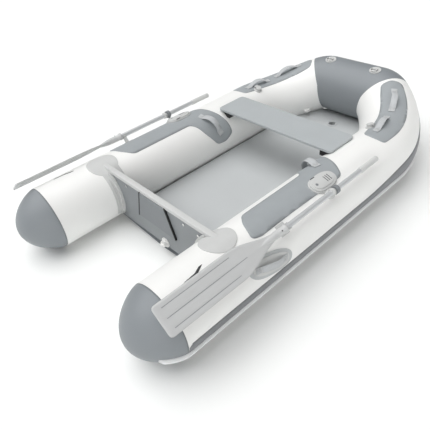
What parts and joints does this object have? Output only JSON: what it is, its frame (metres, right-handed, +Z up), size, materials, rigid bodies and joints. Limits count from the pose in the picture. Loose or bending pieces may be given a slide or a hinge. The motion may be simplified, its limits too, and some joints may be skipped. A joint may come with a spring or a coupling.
{
  "type": "inflatable dinghy",
  "caption": "White and grey inflatable tender with air floor, bench seat, motor transom and oars stowed in swivelling oarlocks.",
  "frame": {"origin": "middle of the bounding box's base, on the surface the tubes rest on", "axes": "+X to the bow, +Y to port, +Z up"},
  "size_m": [2.8342, 1.6168, 0.5537],
  "materials": {
    "black_rubber": "matte",
    "bright_aluminium": "satin",
    "floor_fabric": "matte",
    "grey_tube_fabric": "satin",
    "light_moulding": "satin",
    "light_plastic": "satin",
    "marine_ply": "painted",
    "pad_plastic": "matte",
    "patch_fabric": "matte",
    "stainless": "polished",
    "strake_rubber": "satin",
    "webbing": "woven",
    "white_plastic": "gloss",
    "white_tube_fabric": "satin"
  },
  "bodies": {
    "hull": {"bow_panel_skin": "grey_tube_fabric", "hull_bottom": "grey_tube_fabric", "inflatable_keel": "grey_tube_fabric", "air_floor": "floor_fabric", "floor_valve": "white_plastic", "transom_board": "marine_ply", "transom_bolts": "stainless", "transom_edge_trim": "light_moulding", "outer_motor_pad": "pad_plastic", "inner_motor_pad": "pad_plastic", "drain_socket": "white_plastic", "port_tube_skin": "white_tube_fabric", "starboard_tube_skin": "white_tube_fabric", "port_bow_bulkhead": "white_tube_fabric", "starboard_bow_bulkhead": "white_tube_fabric", "port_stern_cone": "grey_tube_fabric", "starboard_stern_cone": "grey_tube_fabric", "port_rub_strake": "strake_rubber", "starboard_rub_strake": "strake_rubber", "port_transom_holder": "light_moulding", "starboard_transom_holder": "light_moulding", "port_seat_bracket": "black_rubber", "starboard_seat_bracket": "black_rubber", "port_side_patch": "patch_fabric", "starboard_side_patch": "patch_fabric", "port_bow_patch": "patch_fabric", "starboard_bow_patch": "patch_fabric", "port_side_handle": "webbing", "starboard_side_handle": "webbing", "port_bow_handle_aft": "webbing", "starboard_bow_handle_aft": "webbing", "port_bow_handle_fore": "webbing", "starboard_bow_handle_fore": "webbing", "port_lift_handle": "light_moulding", "starboard_lift_handle": "light_moulding", "port_tow_pad": "light_moulding", "starboard_tow_pad": "light_moulding", "port_valve_body": "light_plastic", "starboard_valve_body": "light_plastic", "port_oarlock_base": "light_moulding", "starboard_oarlock_base": "light_moulding", "port_oar_rest": "light_moulding", "starboard_oar_rest": "light_moulding"},
    "seat": {"bench_seat": "light_plastic"},
    "drain_plug": {"drain_plug": "white_plastic"},
    "port_tow_ring": {"port_tow_ring": "stainless"},
    "port_valve_cap": {"port_valve_cap": "light_plastic"},
    "port_oarlock": {"port_oarlock_ring": "light_plastic"},
    "port_oar": {"port_oar_blade": "light_plastic", "port_oar_shaft": "bright_aluminium", "port_oar_grip": "light_moulding"},
    "port_oar_button": {"port_oar_button": "stainless"},
    "starboard_tow_ring": {"starboard_tow_ring": "stainless"},
    "starboard_valve_cap": {"starboard_valve_cap": "light_plastic"},
    "starboard_oarlock": {"starboard_oarlock_ring": "light_plastic"},
    "starboard_oar": {"starboard_oar_blade": "light_plastic", "starboard_oar_shaft": "bright_aluminium", "starboard_oar_grip": "light_moulding"},
    "starboard_oar_button": {"starboard_oar_button": "stainless"}
  },
  "joints": [
    {"name": "seat_lift", "type": "slide", "parent": "hull", "child": "seat", "axis": [0, 0, 1], "range_m": [0, 0.3]},
    {"name": "drain_plug_pull", "type": "slide", "parent": "hull", "child": "drain_plug", "axis": [-1, 0, 0], "range_m": [0, 0.05]},
    {"name": "port_tow_ring_flip", "type": "hinge", "parent": "hull", "child": "port_tow_ring", "pos_m": [1.16739, 0.195, 0.54672], "axis": [0, 1, 0], "range_deg": [0, 150]},
    {"name": "port_valve_cap_open", "type": "hinge", "parent": "hull", "child": "port_valve_cap", "pos_m": [0.6449, 0.52466, 0.41949], "axis": [-1, 0, 0], "range_deg": [0, 110]},
    {"name": "port_oarlock_swing", "type": "hinge", "parent": "hull", "child": "port_oarlock", "pos_m": [-0.0871, 0.74213, 0.40892], "axis": [0, -0.6293, -0.7771], "range_deg": [0, 110]},
    {"name": "port_oar_dip", "type": "hinge", "parent": "port_oarlock", "child": "port_oar", "pos_m": [-0.0871, 0.74213, 0.40892], "axis": [0, 0.7771, -0.6293], "range_deg": [0, 5]},
    {"name": "port_oar_button_press", "type": "slide", "parent": "port_oar", "child": "port_oar_button", "axis": [0, -0.6293, -0.7771], "range_m": [0, 0.004], "stiffness_N_per_m": 300, "springref_m": -0.003},
    {"name": "starboard_tow_ring_flip", "type": "hinge", "parent": "hull", "child": "starboard_tow_ring", "pos_m": [1.16739, -0.195, 0.54672], "axis": [0, 1, 0], "range_deg": [0, 150]},
    {"name": "starboard_valve_cap_open", "type": "hinge", "parent": "hull", "child": "starboard_valve_cap", "pos_m": [0.6449, -0.52466, 0.41949], "axis": [1, 0, 0], "range_deg": [0, 110]},
    {"name": "starboard_oarlock_swing", "type": "hinge", "parent": "hull", "child": "starboard_oarlock", "pos_m": [-0.0871, -0.74213, 0.40892], "axis": [0, -0.6293, 0.7771], "range_deg": [0, 110]},
    {"name": "starboard_oar_dip", "type": "hinge", "parent": "starboard_oarlock", "child": "starboard_oar", "pos_m": [-0.0871, -0.74213, 0.40892], "axis": [0, 0.7771, 0.6293], "range_deg": [0, 5]},
    {"name": "starboard_oar_button_press", "type": "slide", "parent": "starboard_oar", "child": "starboard_oar_button", "axis": [0, 0.6293, -0.7771], "range_m": [0, 0.004], "stiffness_N_per_m": 300, "springref_m": -0.003}
  ]
}
